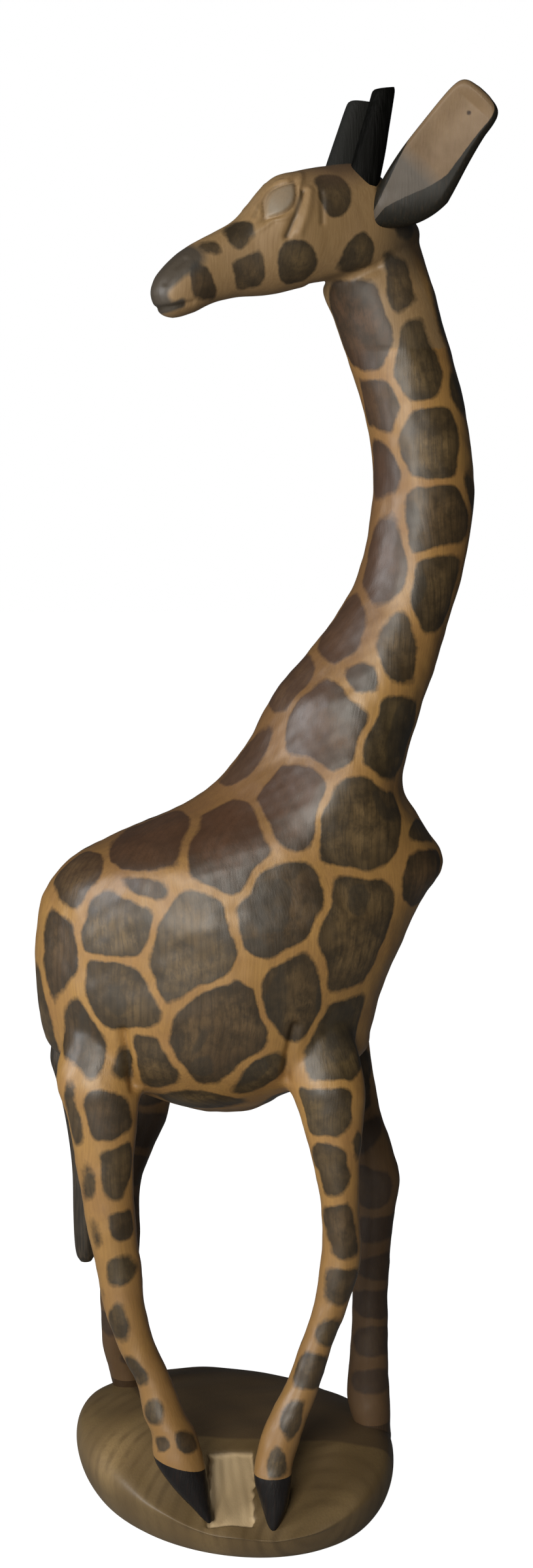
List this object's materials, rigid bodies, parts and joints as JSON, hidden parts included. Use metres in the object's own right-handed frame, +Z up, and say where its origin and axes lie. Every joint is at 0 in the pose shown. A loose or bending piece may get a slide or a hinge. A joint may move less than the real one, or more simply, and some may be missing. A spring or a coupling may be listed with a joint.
{
  "type": "carved giraffe statue",
  "caption": "Tall carved and painted wooden giraffe with its head turned back, standing on a domed oval base.",
  "frame": {"origin": "on the flat underside of the base, below the middle of the body", "axes": "+Z up, +X towards the chest of the giraffe, -Y the animal's right side, which is its display side"},
  "size_m": [0.2354, 0.178, 0.7585],
  "materials": {
    "coat": "varnished, dark painted patches on ochre lines",
    "bare_wood": "oiled satin with tool marks",
    "hoof_paint": "black stain, satin",
    "ear_paint": "tan face with a black rim and back",
    "horn_paint": "black stain, worn",
    "tail_paint": "dark brown stain"
  },
  "bodies": {
    "root": {"base": "bare_wood", "torso": "coat", "neck": "coat", "head": "coat", "hindleg_right": "coat", "foreleg_right": "coat", "hindleg_left": "coat", "foreleg_left": "coat", "hindhoof_right": "hoof_paint", "forehoof_right": "hoof_paint", "hindhoof_left": "hoof_paint", "forehoof_left": "hoof_paint", "ear_left": "ear_paint", "ear_right": "ear_paint", "horn_left": "horn_paint", "horn_right": "horn_paint", "tail": "tail_paint"}
  },
  "joints": []
}
